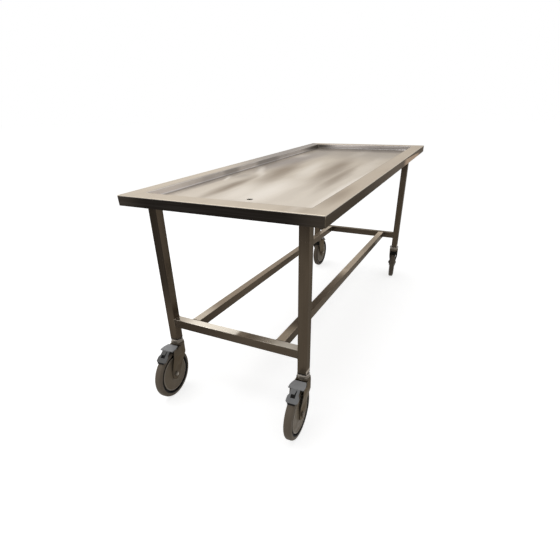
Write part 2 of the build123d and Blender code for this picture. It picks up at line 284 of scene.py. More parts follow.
class SurfaceGroup(Enum):
    """Shader group that several finishes share: its name, its second input and its output."""

    GRAIN = ("brushed_grain", "Fineness", "Grain")
    CLOUDS = ("soft_clouds", "Size", "Cloud")
    SCUFFS = ("scuffs", "Amount", "Mask")

    def use(self, graph: Graph, vector: Socket, level: float) -> Socket:
        """Place the group in a material, and build it on its first use.

        Args:
            graph: The material's graph.
            vector: Coordinates that the pattern follows.
            level: Value of the second input.

        Returns:
            The group's output.
        """
        name, knob, _ = self.value
        tree = bpy.data.node_groups.get(name) or self._build()
        return graph.add("ShaderNodeGroup", {"Vector": vector, knob: level}, node_tree=tree).outputs[0]

    def _build(self) -> bpy.types.NodeTree:
        """Build the group.

        Returns:
            Its tree.
        """
        name, knob, result = self.value
        tree = bpy.data.node_groups.new(name, "ShaderNodeTree")
        tree.interface.new_socket(name="Vector", in_out="INPUT", socket_type="NodeSocketVector")
        tree.interface.new_socket(name=knob, in_out="INPUT", socket_type="NodeSocketFloat")
        tree.interface.new_socket(name=result, in_out="OUTPUT", socket_type="NodeSocketFloat")
        graph = Graph(tree)
        given = graph.add("NodeGroupInput").outputs
        recipes = {SurfaceGroup.GRAIN: self._grain, SurfaceGroup.CLOUDS: self._clouds,
                   SurfaceGroup.SCUFFS: self._scuffs}
        graph.add("NodeGroupOutput", {result: recipes[self](graph, given["Vector"], given[knob])})
        return tree

    @staticmethod
    def _grain(graph: Graph, vector: Socket, fineness: Socket) -> Socket:
        """Fine parallel brush lines, some stronger than others.

        Args:
            graph: The group's graph.
            vector: Coordinates, stretched along the lines.
            fineness: Scale of the lines.

        Returns:
            Strength of the lines.
        """
        fine = graph.noise(vector, fineness, detail=3.0, roughness=0.6)
        coarse = graph.noise(vector, graph.times(fineness, COARSE_LINES))
        return graph.fade(graph.weigh(fine, coarse, FINE_SHARE), LINE_STEP)

    @staticmethod
    def _clouds(graph: Graph, vector: Socket, size: Socket) -> Socket:
        """Broad soft patches of a given size, as where polish and handling differ."""
        cloud = graph.noise(vector, graph.math("DIVIDE", 1.0, size), detail=2.5, roughness=0.45)
        return graph.fade(cloud, CLOUD_STEP)

    @staticmethod
    def _scuffs(graph: Graph, vector: Socket, amount: Socket) -> Socket:
        """Scattered short rub marks.

        Args:
            graph: The group's graph.
            vector: Coordinates.
            amount: How many marks there are.

        Returns:
            Mask of the marks.
        """
        marks = graph.noise(vector, MARK_SCALE, detail=3.0, roughness=0.7)
        zones = graph.noise(vector, ZONE_SCALE, detail=1.0)
        start = graph.math("SUBTRACT", MARK_LEVEL, graph.times(amount, MARK_GAIN))
        over = graph.math("SUBTRACT", graph.weigh(marks, zones, MARK_SHARE), start)
        return graph.ramp(graph.math("DIVIDE", over, MARK_SOFT), 0.0, 1.0)


@dataclass(frozen=True)
class Finish:
    """A finish, which makes its material on first use."""

    name: str

    def material(self) -> bpy.types.Material:
        """Find or make the finish's material.

        Returns:
            The material.
        """
        label = f"{self.name}_finish"
        made = bpy.data.materials.get(label)
        if made is None:
            made = bpy.data.materials.new(label)
            made.use_nodes = True
            self.dress(Graph(made.node_tree), made.node_tree.nodes["Principled BSDF"])
        return made

    def dress(self, graph: Graph, shader: Node) -> None:
        """Build the finish's nodes on its shader."""
        raise NotImplementedError

    def put_on(self, piece: bpy.types.Object) -> None:
        """Fill every material slot of a piece with this finish.

        Args:
            piece: The piece.
        """
        made = self.material()
        if not piece.data.materials:
            piece.data.materials.append(made)
        for slot in piece.material_slots:
            slot.material = made


class Tone(Enum):
    """Tone of a painted reflection band of the tray's sheet, in the order in which the bands are laid."""

    COOL = "cool"
    TAN = "tan"
    BRIGHT = "bright"


@dataclass(frozen=True)
class SheenBand:
    """Soft long painted reflection on the tray's sheet."""

    tone: Tone
    x: float
    y: float
    length: float
    width: float
    turn_deg: float
    strength: float


@dataclass(frozen=True)
class SheetPoint:
    """What the tray's finish reads at a point: tray coordinates, facing, brush lines and clouds."""

    local: Socket
    x: Socket
    y: Socket
    z: Socket
    up: Socket
    at_end: Socket
    grain: Socket
    cloud: Socket


@dataclass(frozen=True)
class TrayFinish(Finish):
    """Brushed stainless sheet of the tray, painted with light: painted highlights and reflections where it
    faces up, painted dark reflections on its skirt and painted shade underneath.
    """

    rim_height: float = 0.9065
    fall_deg: float = 1.88
    half_length: float = 0.95
    half_width: float = 0.40
    basin_half_x: float = 0.88
    basin_half_y: float = 0.33
    basin_depth: float = 0.027
    # Floor: painted reflection, pale by the drain and grey at the head
    drain_end: Colour = (0.70, 0.63, 0.54)
    cream: Colour = (0.60, 0.525, 0.43)
    head_end: Colour = (0.20, 0.175, 0.16)
    drain_fade: Fade = Fade(-0.70, 0.10)
    grey_fades: tuple[Fade, Fade] = (Fade(0.30, 0.62, 0.0, 0.40), Fade(0.70, 0.79, 0.0, 0.38))
    # Flat rim, with painted reflections: paler on the left side and greying towards the head, with painted
    # shade along the left inner edge
    rim_foot: Colour = (0.60, 0.52, 0.42)
    rim: Colour = (0.53, 0.445, 0.345)
    rim_far: Colour = (0.29, 0.26, 0.24)
    rim_left: Colour = (0.61, 0.53, 0.43)
    rim_start: Fade = Fade(-0.001, 0.001)
    rim_fade: Fade = Fade(-0.92, -0.55)
    left_soft: float = 0.002
    mitre_fade: Fade = Fade(-0.012, 0.012)
    left_fade: Fade = Fade(-0.40, 0.25, 0.0, 0.92)
    left_shade: Fade = Fade(0.352, 0.334, 0.0, 0.40)
    left_share: Fade = Fade(-0.90, -0.80, 0.3, 0.95)
    # Basin walls, with painted reflections in pale patches and dark stretches, painted shade low on the
    # head wall and in the far-left corner, and painted shade lines at their foot and mouth
    wall: Colour = (0.64, 0.605, 0.58)
    wall_head: Colour = (0.82, 0.775, 0.75)
    wall_dark: Colour = (0.29, 0.275, 0.265)
    wall_shade: Colour = (0.25, 0.233, 0.222)
    wall_corner: Colour = (0.10, 0.085, 0.07)
    line: Colour = (0.07, 0.058, 0.055)
    wall_shades: tuple[Stretch, ...] = (
        Stretch(-0.40, -0.33, -0.26, -0.19, 0.65), Stretch(-0.07, 0.00, 0.17, 0.30, 0.65))
    wall_clouds: Fade = Fade(0.2, 1.0, 0.0, 0.3)
    wall_pale: tuple[Fade, Fade] = (Fade(0.30, 0.45, 0.0, 0.4), Fade(-0.55, -0.75, 0.0, 0.6))
    wall_facing: Fade = Fade(0.90, 0.45)
    head_inset: Span = (0.012, 0.006)
    head_low: Fade = Fade(-0.011, -0.025)
    head_low_side: Fade = Fade(-0.31, -0.21, 0.45, 1.0)
    corner_x: Fade = Fade(0.52, 0.84)
    corner_y: Fade = Fade(0.17, 0.30, 0.0, 0.85)
    foot_rise: Span = (0.0055, 0.0035)
    foot_start: Fade = Fade(-0.0075, -0.0045)
    foot_share: float = 0.55
    mouth_start: Fade = Fade(-0.0015, 0.0)
    mouth_end: Fade = Fade(0.0055, 0.0025)
    mouth_side: Fade = Fade(-0.1, 0.1, 0.36, 0.0)
    # Rim's outer edge with a painted highlight, and the skirt: painted dark reflections, lighter towards
    # the head and at the corners of its ends, with a painted reflection patch
    edge: Colour = (0.64, 0.565, 0.46)
    skirt_end: Colour = (0.026, 0.0212, 0.0178)
    skirt_side: Colour = (0.088, 0.066, 0.044)
    skirt_head: Colour = (0.205, 0.160, 0.120)
    skirt_glow: Colour = (0.80, 0.585, 0.415)
    skirt_corner: Colour = (0.070, 0.056, 0.044)
    outside: Fade = Fade(-0.0032, -0.0022)
    edge_fade: Fade = Fade(-0.0028, -0.0012)
    skirt_fade: Fade = Fade(-0.0016, -0.0032)
    corner_fade: Fade = Fade(0.26, 0.40)
    side_fade: Fade = Fade(-0.62, 0.10)
    skirt_grain: Fade = Fade(0.3, 1.0, 0.0, 0.03)
    glow: Stretch = Stretch(0.22, 0.35, 0.66, 0.82, 0.9)
    glow_top: float = -0.0043
    glow_slope: float = 0.033
    glow_soft: Fade = Fade(0.001, -0.002)
    glow_side: Fade = Fade(0.0, -0.1)
    # Underside: painted shade
    under: Colour = (0.26, 0.225, 0.19)
    under_facing: Fade = Fade(-0.2, -0.6)
    # Painted reflections: soft cool, tan and bright bands over floor and rim
    cool: Colour = (0.30, 0.265, 0.25)
    tan: Colour = (0.20, 0.140, 0.090)
    bright: Colour = (0.90, 0.84, 0.76)
    sway_scale: Point = (1.7, 13.0, 1.0)
    sway: Fade = Fade(0.2, 0.8, -0.014, 0.014)
    band_edge: Span = (1.2, 0.1)
    band_height: float = 1000.0
    bands: tuple[SheenBand, ...] = (
        SheenBand(Tone.COOL, 0.22, 0.250, 0.60, 0.115, -5.0, 0.80),
        SheenBand(Tone.COOL, -0.30, 0.255, 0.10, 0.050, 0.0, 0.45),
        SheenBand(Tone.COOL, -0.45, 0.312, 0.45, 0.024, 0.0, 0.55),
        SheenBand(Tone.COOL, 0.62, -0.170, 0.30, 0.120, 8.0, 0.08),
        SheenBand(Tone.TAN, -0.52, 0.190, 0.32, 0.038, 2.0, 0.75),
        SheenBand(Tone.TAN, -0.10, 0.145, 0.42, 0.070, 8.0, 0.70),
        SheenBand(Tone.TAN, 0.06, -0.085, 0.52, 0.080, 6.0, 0.70),
        SheenBand(Tone.TAN, -0.16, -0.185, 0.44, 0.044, 4.0, 0.62),
        SheenBand(Tone.TAN, -0.70, -0.355, 0.22, 0.034, 0.0, 0.45),
        SheenBand(Tone.TAN, -0.915, -0.310, 0.06, 0.080, 0.0, 0.22),
        SheenBand(Tone.BRIGHT, -0.56, 0.000, 0.34, 0.095, 2.0, 0.78),
        SheenBand(Tone.BRIGHT, -0.14, 0.250, 0.20, 0.030, 28.0, 0.55),
        SheenBand(Tone.BRIGHT, -0.39, 0.294, 0.08, 0.018, 25.0, 0.70),
        SheenBand(Tone.BRIGHT, 0.00, 0.035, 0.34, 0.055, 9.0, 0.50),
        SheenBand(Tone.BRIGHT, 0.06, -0.240, 0.50, 0.055, 3.0, 0.25),
        SheenBand(Tone.BRIGHT, -0.60, 0.090, 0.22, 0.055, 8.0, 0.45),
        SheenBand(Tone.BRIGHT, 0.45, 0.268, 0.11, 0.045, 0.0, 0.26),
        SheenBand(Tone.BRIGHT, 0.64, -0.045, 0.24, 0.050, 0.0, 0.16),
        SheenBand(Tone.BRIGHT, -0.46, -0.292, 0.56, 0.036, 0.0, 0.74),
    )
    # Brush lines, clouds and gloss
    end_facing: Fade = Fade(0.5, 0.8)
    grain_scale: Span = (5.0, 420.0)
    grain_tint: float = 0.025
    grain_depth: float = 0.00004
    grain_relief: float = 0.03
    cloud_scale: Point = (1.6, 5.0, 2.0)
    cloud_shift: Point = (0.35, 0.8, 0.0)
    cloud_size: float = 0.6
    cloud_fade: Fade = Fade(0.45, 1.0, 0.0, 0.12)
    sheen: Colour = (0.85, 0.83, 0.80)
    metal_top: float = 0.55
    metal_skirt: float = 0.12
    rough: Span = (0.30, 0.38)
    rough_grain: Span = (-0.02, 0.02)

    def dress(self, graph: Graph, shader: Node) -> None:
        """Build the brushed sheet's colours with their painted light and shade, grain and gloss.

        Args:
            graph: The material's graph.
            shader: Its Principled shader.
        """
        sheet = self._point(graph)
        colour = self._top(graph, sheet)
        colour = self._walls(graph, sheet, colour)
        colour, skirt = self._skirt(graph, sheet, colour)
        # Painted shade underneath
        colour = graph.mix(graph.fade(sheet.up, self.under_facing), colour, self.under)
        rough = graph.math("ADD", graph.ease(sheet.cloud, *self.rough),
                           graph.ease(sheet.grain, *self.rough_grain))
        graph.fill(shader, {
            "Base Color": colour, "Specular Tint": self.sheen, "Specular IOR Level": 0.0,
            "Metallic": graph.ease(skirt, self.metal_top, self.metal_skirt), "Roughness": rough,
            "Normal": graph.bump(sheet.grain, self.grain_depth, self.grain_relief)})

    def _point(self, graph: Graph) -> SheetPoint:
        """Gather what the finish reads at a point.

        Args:
            graph: The material's graph.

        Returns:
            The sockets.
        """
        local = graph.place((0.0, 0.0, self.rim_height), (0.0, -math.radians(self.fall_deg), 0.0))
        face_x, _, face_z = graph.facing()
        at_end = graph.fade(graph.size(face_x), self.end_facing)
        brushed = graph.blend(at_end, graph.scaled(local, Axis.X.stretched(self.grain_scale)),
                              graph.scaled(local, Axis.Y.stretched(self.grain_scale)))
        grain = SurfaceGroup.GRAIN.use(graph, brushed, 1.0)
        patches = graph.scaled(local, self.cloud_scale, self.cloud_shift)
        cloud = SurfaceGroup.CLOUDS.use(graph, patches, self.cloud_size)
        return SheetPoint(local, *graph.split(local), face_z, at_end, grain, cloud)

    def _top(self, graph: Graph, sheet: SheetPoint) -> Socket:
        """Colour of the floor and rim, painted with reflections: bright by the drain, grey at the head,
        with soft bands.

        Args:
            graph: The material's graph.
            sheet: What is read at a point.

        Returns:
            Socket of the colour.
        """
        colour = graph.mix(graph.fade(sheet.x, self.drain_fade), self.drain_end, self.cream)
        grey = graph.math("ADD", *(graph.fade(sheet.x, fade) for fade in self.grey_fades))
        colour = graph.mix(grey, colour, self.head_end)
        on_rim = graph.fade(self._past(graph, sheet, self.basin_half_x, self.basin_half_y), self.rim_start)
        colour = graph.mix(on_rim, colour, self._rim(graph, sheet))
        colour = graph.mix(graph.fade(sheet.cloud, self.cloud_fade), colour, self.cool)
        # Painted reflections: soft bands, swayed a little, laid tone by tone
        waves = graph.noise(graph.scaled(sheet.local, self.sway_scale), 1.0, detail=3.0, roughness=0.55)
        shift = graph.add("ShaderNodeCombineXYZ", {"Y": graph.fade(waves, self.sway)}).outputs[0]
        swayed = graph.add("ShaderNodeVectorMath", {0: sheet.local, 1: shift}).outputs[0]
        tones = {Tone.COOL: self.cool, Tone.TAN: self.tan, Tone.BRIGHT: self.bright}
        for tone, tint in tones.items():
            mask = 0.0
            for band in self.bands:
                if band.tone is tone:
                    mask = graph.math("MAXIMUM", mask, self._band(graph, swayed, band))
            colour = graph.mix(mask, colour, tint)
        return graph.mix(graph.ease(sheet.grain, 0.0, self.grain_tint), colour, self.cool)

    def _rim(self, graph: Graph, sheet: SheetPoint) -> Socket:
        """Colour of the flat rim, with painted reflections: its left side paler and greying towards the
        head, with painted shade along its inner edge.

        Args:
            graph: The material's graph.
            sheet: What is read at a point.

        Returns:
            Socket of the colour.
        """
        rim = graph.mix(graph.fade(sheet.x, self.rim_fade), self.rim_foot, self.rim)
        left = graph.ramp(sheet.y, self.basin_half_y, self.basin_half_y + self.left_soft)
        mitre = graph.math("SUBTRACT", graph.math("SUBTRACT", sheet.y, self.basin_half_y),
                           graph.math("SUBTRACT", sheet.x, self.basin_half_x))
        left = graph.times(left, graph.fade(mitre, self.mitre_fade), graph.fade(sheet.x, self.left_share))
        pale = graph.mix(graph.fade(sheet.x, self.left_fade), self.rim_left, self.rim_far)
        pale = graph.mix(graph.fade(sheet.y, self.left_shade), pale, self.wall_dark)
        return graph.mix(left, rim, pale)

    def _walls(self, graph: Graph, sheet: SheetPoint, colour: Socket) -> Socket:
        """Put the basin's grey walls, with their painted reflections and painted shade, and the painted
        shade lines at their bends over the top's colour.

        Args:
            graph: The material's graph.
            sheet: What is read at a point.
            colour: Colour of the top.

        Returns:
            Socket of the colour.
        """
        x, y, z = sheet.x, sheet.y, sheet.z
        # Painted reflections and shade in dark stretches, over random clouds
        dark = graph.math("MAXIMUM", graph.stretches(x, self.wall_shades),
                          graph.fade(sheet.cloud, self.wall_clouds))
        wall = graph.mix(dark, self.wall, self.wall_dark)
        at_head = graph.ramp(x, *(self.basin_half_x - inset for inset in self.head_inset))
        pale = graph.math("MAXIMUM", *(graph.fade(x, fade) for fade in self.wall_pale))
        wall = graph.mix(graph.math("MAXIMUM", at_head, pale), wall, self.wall_head)
        # Painted shade low on the head wall
        low = graph.times(at_head, graph.fade(z, self.head_low), graph.fade(y, self.head_low_side))
        wall = graph.mix(low, wall, self.wall_shade)
        # Painted shade in the far-left corner
        corner = graph.times(graph.fade(x, self.corner_x), graph.fade(y, self.corner_y))
        wall = graph.mix(corner, wall, self.wall_corner)
        upright = graph.math("MAXIMUM", graph.fade(graph.size(sheet.up), self.wall_facing), low)
        colour = graph.mix(upright, colour, wall)
        past = self._past(graph, sheet, self.basin_half_x, self.basin_half_y)
        # Painted shade lines where the walls meet the floor and the rim
        foot = graph.times(graph.ramp(z, *(rise - self.basin_depth for rise in self.foot_rise)),
                           graph.fade(past, self.foot_start), graph.ease(at_head, self.foot_share, 0.0))
        colour = graph.mix(foot, colour, self.line)
        mouth = graph.times(graph.fade(past, self.mouth_start), graph.fade(past, self.mouth_end),
                            graph.fade(y, self.mouth_side))
        return graph.mix(mouth, colour, self.line)

    def _skirt(self, graph: Graph, sheet: SheetPoint, colour: Socket) -> tuple[Socket, Socket]:
        """Put the painted highlight along the rim's outer edge and the skirt's painted dark reflections,
        with their painted reflection patch, over the top's colour.

        Args:
            graph: The material's graph.
            sheet: What is read at a point.
            colour: Colour of the top.

        Returns:
            Sockets of the colour and of the skirt's mask.
        """
        x, y, z = sheet.x, sheet.y, sheet.z
        outside = graph.fade(self._past(graph, sheet, self.half_length, self.half_width), self.outside)
        # Painted highlight along the rim's outer edge
        colour = graph.mix(graph.times(outside, graph.fade(z, self.edge_fade)), colour, self.edge)
        # Painted dark reflections on the skirt
        end = graph.mix(graph.fade(graph.size(y), self.corner_fade), self.skirt_end, self.skirt_corner)
        side = graph.mix(graph.fade(x, self.side_fade), self.skirt_side, self.skirt_head)
        # Painted reflection patch on the side skirt
        level = graph.math("ADD", z, graph.math("ADD", graph.times(x, self.glow_slope), self.glow_top))
        glow = graph.times(graph.fade(level, self.glow_soft), graph.fade(y, self.glow_side),
                           graph.stretches(x, (self.glow,)))
        side = graph.mix(glow, side, self.skirt_glow)
        side = graph.mix(sheet.at_end, side, end)
        side = graph.mix(graph.fade(sheet.grain, self.skirt_grain), side, self.wall)
        skirt = graph.times(outside, graph.fade(z, self.skirt_fade))
        return graph.mix(skirt, colour, side), skirt

    def _band(self, graph: Graph, local: Socket, band: SheenBand) -> Socket:
        """Mask of one painted reflection band.

        Args:
            graph: The material's graph.
            local: Tray coordinates.
            band: The band.

        Returns:
            Socket of the mask.
        """
        ellipse = graph.mapped("TEXTURE", {
            "Vector": local, "Location": (band.x, band.y, 0.0),
            "Rotation": (0.0, 0.0, math.radians(band.turn_deg)),
            "Scale": (band.length, band.width, self.band_height)})
        reach = graph.add("ShaderNodeVectorMath", {0: ellipse}, operation="LENGTH").outputs["Value"]
        return graph.ramp(reach, *self.band_edge, 0.0, band.strength)

    @staticmethod
    def _past(graph: Graph, sheet: SheetPoint, half_x: float, half_y: float) -> Socket:
        """Distance outside a rectangle about the tray's middle with these half sides, negative inside."""
        past_x = graph.math("SUBTRACT", graph.size(sheet.x), half_x)
        return graph.math("MAXIMUM", past_x, graph.math("SUBTRACT", graph.size(sheet.y), half_y))


@dataclass(frozen=True)
class TubeFinish(Finish):
    """Polished square tube, with painted light: dark sides with painted shade, and a painted highlight on
    the top where it lies flat.
    """

    axis: Axis
    # Where the sides take their painted shade, on all of them or only those that face the ends
    deepen: Fade
    front_only: bool = False
    front_facing: Fade = Fade(0.5, 0.9)
    # Sides, their painted shade, the top's painted highlight and the top's painted reflection of the tray's
    # underside
    side: Colour = (0.108, 0.083, 0.059)
    deep: Colour = (0.048, 0.036, 0.026)
    top: Colour = (0.88, 0.78, 0.64)
    top_dark: Colour = (0.24, 0.19, 0.14)
    top_facing: Fade = Fade(0.55, 0.95)
    shades: tuple[Stretch, ...] = ()
    rub: Colour = (0.20, 0.165, 0.13)
    sheen: Colour = (0.70, 0.67, 0.63)
    metal_side: float = 0.4
    metal_top: float = 0.9
    # Where a flat top turns dull, past the tube's end unless it is given
    dull: Span = (2.0, 3.0)
    metal_dull: float = 0.4
    # Painted highlight on the lower end's right side, if its top is given
    shine: Colour = (0.55, 0.48, 0.40)
    shine_top: float = 0.0
    shine_soft: float = 0.007
    shine_facing: Fade = Fade(-0.3, -0.8)
    # Brush lines, clouds, scuffs and gloss
    grain_scale: Span = (14.0, 900.0)
    grain_fade: Fade = Fade(0.3, 1.0, 0.0, 0.08)
    grain_top: float = 0.012
    grain_depth: float = 0.00001
    grain_relief: float = 0.008
    cloud_scale: Span = (1.6, 9.0)
    cloud_size: float = 0.5
    cloud_share: float = 0.30
    scuffs: float = 0.35
    scuff_share: float = 0.30
    rough: Span = (0.20, 0.24)
    scuff_rough: float = 0.1

    def dress(self, graph: Graph, shader: Node) -> None:
        """Build the tube's colours, grain and gloss.

        Args:
            graph: The material's graph.
            shader: Its Principled shader.
        """
        local = graph.place()
        face_x, face_y, face_z = graph.facing()
        brushed = graph.scaled(local, self.axis.stretched(self.grain_scale))
        grain = SurfaceGroup.GRAIN.use(graph, brushed, 1.0)
        patches = graph.scaled(local, self.axis.stretched(self.cloud_scale))
        cloud = SurfaceGroup.CLOUDS.use(graph, patches, self.cloud_size)
        scuff = SurfaceGroup.SCUFFS.use(graph, local, self.scuffs)
        along = graph.split(local)[self.axis.value]
        # Painted shade on the sides, over random clouds
        deep = graph.fade(along, self.deepen)
        if self.front_only:
            deep = graph.times(deep, graph.fade(graph.size(face_x), self.front_facing))
        deep = graph.math("MAXIMUM", deep, graph.times(cloud, self.cloud_share))
        side = graph.mix(deep, self.side, self.deep)
        side = graph.mix(graph.fade(grain, self.grain_fade), side, self.rub)
        side = graph.mix(graph.times(scuff, self.scuff_share), side, self.rub)
        # Painted highlight at the foot of the right side
        if self.shine_top:
            low = graph.ramp(along, self.shine_top, self.shine_top - self.shine_soft)
            side = graph.mix(graph.times(low, graph.fade(face_y, self.shine_facing)), side, self.shine)
        # Top: painted highlight where it faces up, with painted reflections of the tray's underside in
        # stretches
        top = graph.mix(graph.stretches(along, self.shades), self.top, self.top_dark)
        top = graph.mix(graph.ease(grain, 0.0, self.grain_top), top, self.rub)
        up = graph.fade(face_z, self.top_facing)
        metal = graph.ramp(along, *self.dull, self.metal_top, self.metal_dull)
        rough = graph.math("ADD", graph.ease(grain, *self.rough), graph.times(scuff, self.scuff_rough))
        graph.fill(shader, {
            "Base Color": graph.mix(up, side, top), "Specular Tint": self.sheen, "Specular IOR Level": 0.0,
            "Metallic": graph.ease(up, self.metal_side, metal), "Roughness": rough,
            "Normal": graph.bump(grain, self.grain_depth, self.grain_relief)})


@dataclass(frozen=True)
class MetalFinish(Finish):
    """Plated or bright metal of the castors, with a painted highlight where it faces up."""

    # Side tone, and the lighter tone of faces that look up, a painted highlight
    side: Colour = (0.062, 0.050, 0.037)
    top: Colour = (0.115, 0.095, 0.072)
    worn: Colour = (0.16, 0.138, 0.11)
    sheen: Colour = (0.60, 0.55, 0.49)
    metal: float = 1.0
    gloss: float = 0.36
    gloss_spread: Span = (-0.05, 0.07)
    top_facing: Fade = Fade(0.35, 0.9)
    cloud_size: float = 0.03
    cloud_share: float = 0.2
    wear: float = 0.3
    wear_share: float = 0.6
    speckle: float = 900.0
    speckle_depth: float = 0.0001
    speckle_relief: float = 0.12

    def dress(self, graph: Graph, shader: Node) -> None:
        """Build the metal's colours and gloss.

        Args:
            graph: The material's graph.
            shader: Its Principled shader.
        """
        local = graph.place()
        _, _, face_z = graph.facing()
        cloud = SurfaceGroup.CLOUDS.use(graph, local, self.cloud_size)
        scuff = SurfaceGroup.SCUFFS.use(graph, local, self.wear)
        # Painted highlight on faces that look up
        colour = graph.mix(graph.fade(face_z, self.top_facing), self.side, self.top)
        colour = graph.mix(graph.times(cloud, self.cloud_share), colour, self.worn)
        colour = graph.mix(graph.times(scuff, self.wear_share), colour, self.worn)
        rough = graph.ease(cloud, *(self.gloss + spread for spread in self.gloss_spread))
        speckle = graph.noise(local, self.speckle)
        graph.fill(shader, {
            "Base Color": colour, "Specular Tint": self.sheen, "Metallic": self.metal, "Roughness": rough,
            "Normal": graph.bump(speckle, self.speckle_depth, self.speckle_relief)})


@dataclass(frozen=True)
class MouldedFinish(Finish):
    """Moulded plastic or rubber with a fine skin, rubbed paler in places."""

    body: Colour
    pale: Colour
    gloss: float = 0.42
    gloss_spread: Span = (-0.06, 0.08)
    specular: float = 0.4
    cloud_size: float = 0.025
    cloud_share: float = 0.25
    rubbed: float = 0.3
    rubbed_share: float = 0.45
    skin: float = 700.0
    skin_depth: float = 0.0002
    relief: float = 0.15

    def dress(self, graph: Graph, shader: Node) -> None:
        """Build the moulding's colours, skin and gloss.

        Args:
            graph: The material's graph.
            shader: Its Principled shader.
        """
        local = graph.place()
        cloud = SurfaceGroup.CLOUDS.use(graph, local, self.cloud_size)
        scuff = SurfaceGroup.SCUFFS.use(graph, local, self.rubbed)
        colour = graph.mix(graph.times(cloud, self.cloud_share), self.body, self.pale)
        colour = graph.mix(graph.times(scuff, self.rubbed_share), colour, self.pale)
        rough = graph.ease(cloud, *(self.gloss + spread for spread in self.gloss_spread))
        skin = graph.noise(local, self.skin)
        graph.fill(shader, {
            "Base Color": self.marked(graph, colour), "Specular IOR Level": self.specular,
            "Roughness": rough, "Normal": graph.bump(skin, self.skin_depth, self.relief)})

    def marked(self, graph: Graph, colour: Socket) -> Socket:
        """Colour with this kind of moulding's painted shade, of which a plain one has none."""
        return colour


@dataclass(frozen=True, kw_only=True)
class WheelFinish(MouldedFinish):
    """Moulding of a wheel, with a painted shade ring about the axle, at the groove between disc and tyre.
    """

    axle: Point
    swing: float
    dirt_from: float
    dirt_to: float
    dirt_soft: float = 0.0012
    dirt: Colour = (0.006, 0.0055, 0.005)

    def marked(self, graph: Graph, colour: Socket) -> Socket:
        """Colour with the painted shade ring.

        Args:
            graph: The material's graph.
            colour: Colour of the clean moulding.

        Returns:
            Socket of the colour.
        """
        ahead, _, up = graph.split(graph.place(self.axle, (0.0, 0.0, self.swing)))
        radius = graph.math("SQRT", graph.math("ADD", graph.times(ahead, ahead), graph.times(up, up)))
        rise = graph.ramp(radius, self.dirt_from - self.dirt_soft, self.dirt_from)
        fall = graph.ramp(radius, self.dirt_to + self.dirt_soft, self.dirt_to)
        return graph.mix(graph.times(rise, fall), colour, self.dirt)


@dataclass(frozen=True, kw_only=True)
class PedalFinish(MouldedFinish):
    """Grey moulding of a brake pedal, with painted shade where the foot plate slopes and painted black
    shade underneath.
    """

    # Painted shade on the sloping foot plate and underneath
    slope: Colour
    slope_facing: Fade = Fade(0.96, 0.86, 0.0, 0.85)
    under: Colour = (0.010, 0.0095, 0.009)
    under_facing: Fade = Fade(-0.2, -0.5)

    def marked(self, graph: Graph, colour: Socket) -> Socket:
        """Colour with the painted shade on the slope and underneath.

        Args:
            graph: The material's graph.
            colour: Colour of the clean moulding.

        Returns:
            Socket of the colour.
        """
        _, _, face_z = graph.facing()
        colour = graph.mix(graph.fade(face_z, self.slope_facing), colour, self.slope)
        return graph.mix(graph.fade(face_z, self.under_facing), colour, self.under)


TRAY_SHEET = TrayFinish("brushed_tray_sheet")
# Right legs: painted shade high on the front and a painted highlight at the foot
LEG_TUBE = TubeFinish(
    "leg_tube", axis=Axis.Z, side=(0.116, 0.089, 0.062), metal_side=0.32, deepen=Fade(0.64, 0.90),
    front_only=True, shine_top=0.275)
# Left legs: a shaded copy, with painted shade on the front
SHADED_LEG_TUBE = TubeFinish(
    "shaded_leg_tube", axis=Axis.Z, side=(0.102, 0.077, 0.053), deep=(0.034, 0.026, 0.019),
    deepen=Fade(0.28, 0.56), front_only=True)
# Foot crossbar: painted highlight on the top, with painted reflections of the tray's underside
CROSS_TUBE = TubeFinish(
    "cross_tube", axis=Axis.Y, top=(0.96, 0.88, 0.76), deepen=Fade(-0.20, 0.28), dull=(-0.14, -0.25),
    metal_dull=0.06,
    shades=(Stretch(-0.20, -0.07, -0.032, -0.010, 1.0), Stretch(0.17, 0.26, 0.30, 0.40, 0.55)))
# Head crossbar: a shaded copy of the foot crossbar, its top darker with painted shade
SHADED_HEAD_TUBE = TubeFinish(
    "shaded_head_cross_tube", axis=Axis.Y, top=(0.30, 0.25, 0.19), deepen=Fade(-0.20, 0.28), metal_top=0.3)
# Stretchers: a copy for each side, each with its own painted reflections on the top
LONG_TUBE = TubeFinish(
    "long_tube", axis=Axis.X, side=(0.138, 0.107, 0.077), top=(0.80, 0.70, 0.57),
    top_dark=(0.36, 0.281, 0.208), deepen=Fade(-0.30, -1.10), metal_top=0.5,
    shades=(Stretch(-0.80, -0.66, 0.60, 0.90, 0.85),))
RIGHT_LONG_TUBE = TubeFinish(
    "right_long_tube", axis=Axis.X, side=(0.138, 0.107, 0.077), top=(0.86, 0.72, 0.56),
    top_dark=(0.27, 0.215, 0.162), deepen=Fade(-0.30, -1.10), metal_top=0.5,
    shades=(Stretch(-0.80, -0.68, -0.16, 0.04, 1.0), Stretch(-0.05, 0.02, 0.60, 0.90, 0.38),
            Stretch(0.15, 0.45, 0.60, 0.90, 0.62)))
WELD_METAL = MetalFinish(
    "weld_metal", side=(0.085, 0.068, 0.05), top=(0.36, 0.31, 0.25), worn=(0.22, 0.19, 0.15), gloss=0.38)
CASTOR_PLATE = MetalFinish("castor_plate")
SWIVEL_METAL = MetalFinish(
    "swivel_metal", side=(0.205, 0.178, 0.145), top=(0.66, 0.60, 0.53), worn=(0.23, 0.20, 0.165),
    gloss=0.34, metal=0.45)
BRIGHT_BOLT = MetalFinish(
    "bright_bolt", side=(0.26, 0.235, 0.205), top=(0.42, 0.385, 0.34), worn=(0.45, 0.42, 0.38), gloss=0.24)
AXLE_NUT = MetalFinish(
    "nut_metal", side=(0.19, 0.17, 0.145), top=(0.30, 0.27, 0.235), worn=(0.28, 0.25, 0.215),
    gloss=0.3, metal=0.6)
